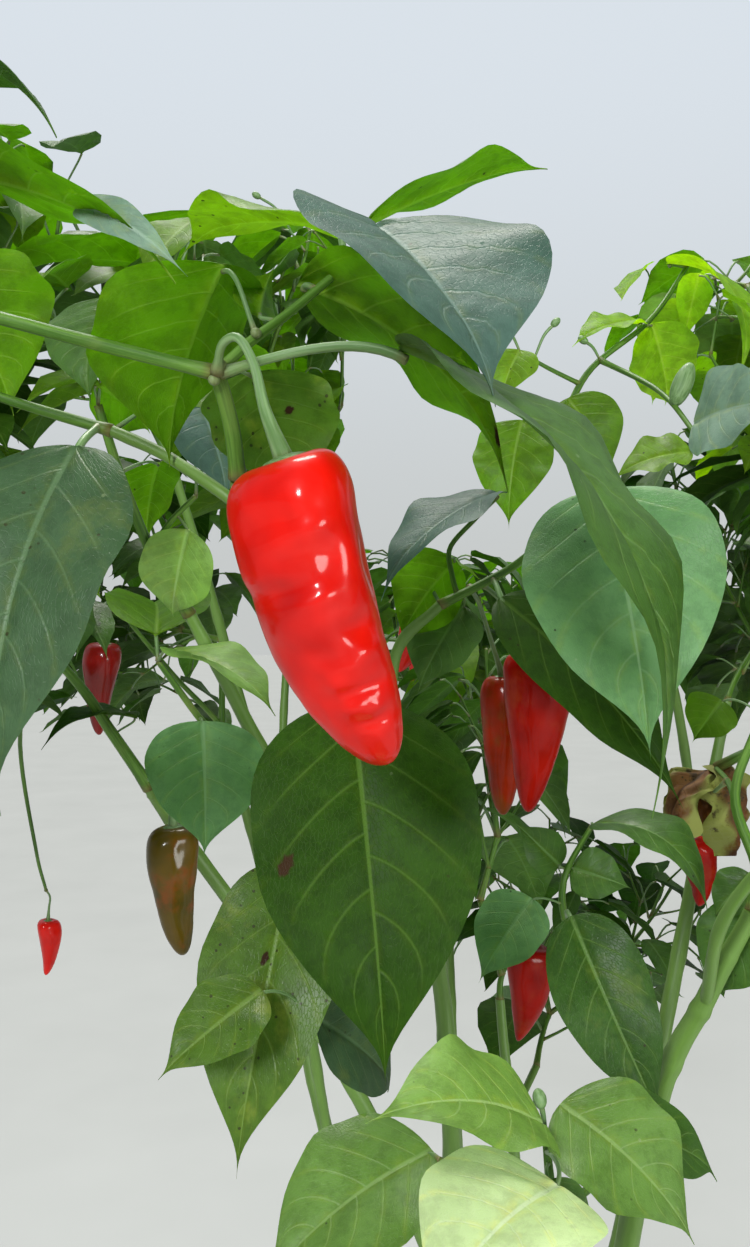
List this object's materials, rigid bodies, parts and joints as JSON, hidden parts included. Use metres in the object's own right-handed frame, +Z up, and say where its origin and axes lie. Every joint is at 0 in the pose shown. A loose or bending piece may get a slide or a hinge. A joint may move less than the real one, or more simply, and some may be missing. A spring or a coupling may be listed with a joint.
{
  "type": "chilli pepper plant",
  "caption": "Bushy chilli pepper plant rooted in the ground: a woody stem, forking green boughs, sprays of broad pointed leaves and hanging glossy red pods.",
  "frame": {"origin": "centre of the flat cut under the stem, at ground level", "axes": "+Z up along the stem, -Y to the front of the plant, +X to its right as seen from the front"},
  "size_m": [0.8204, 0.7588, 1.1569],
  "materials": {
    "bark": "rough bark",
    "stalk": "smooth green stalk",
    "foliage": "satin leaf",
    "ripe": "glossy ripe skin",
    "ripening": "glossy skin",
    "turning": "glossy skin"
  },
  "bodies": {
    "root": {"bough_back": "stalk", "bough_back_left": "stalk", "bough_back_right": "stalk", "bough_centre": "stalk", "bough_centre_front": "stalk", "bough_fork": "stalk", "bough_front": "stalk", "bough_inner": "stalk", "bough_left": "stalk", "bough_left_front": "stalk", "bough_left_heart": "stalk", "bough_left_middle": "stalk", "bough_low_back": "stalk", "bough_low_front": "stalk", "bough_low_right": "stalk", "bough_right": "stalk", "bough_right_front": "stalk", "bough_right_inner": "stalk", "bough_right_middle": "stalk", "bough_top_back": "stalk", "bough_top_left": "stalk", "bough_top_right": "stalk", "pod_behind": "ripe", "pod_dark_left": "ripening", "pod_deep_right": "ripe", "pod_great": "ripe", "pod_low_right": "ripe", "pod_pair_left": "ripening", "pod_pair_right": "ripe", "pod_small_left": "ripe", "pod_turning": "turning", "spray_back": "foliage", "spray_back_left": "foliage", "spray_back_right": "foliage", "spray_centre": "foliage", "spray_fork": "foliage", "spray_inner": "foliage", "spray_left_front": "foliage", "spray_left_heart": "foliage", "spray_left_low": "foliage", "spray_left_middle": "foliage", "spray_low_back": "foliage", "spray_low_front": "foliage", "spray_low_right": "foliage", "spray_right_edge": "foliage", "spray_right_front": "foliage", "spray_right_inner": "foliage", "spray_right_middle": "foliage", "spray_top_back": "foliage", "spray_top_left": "foliage", "spray_top_right": "foliage", "stem": "bark"}
  },
  "joints": []
}
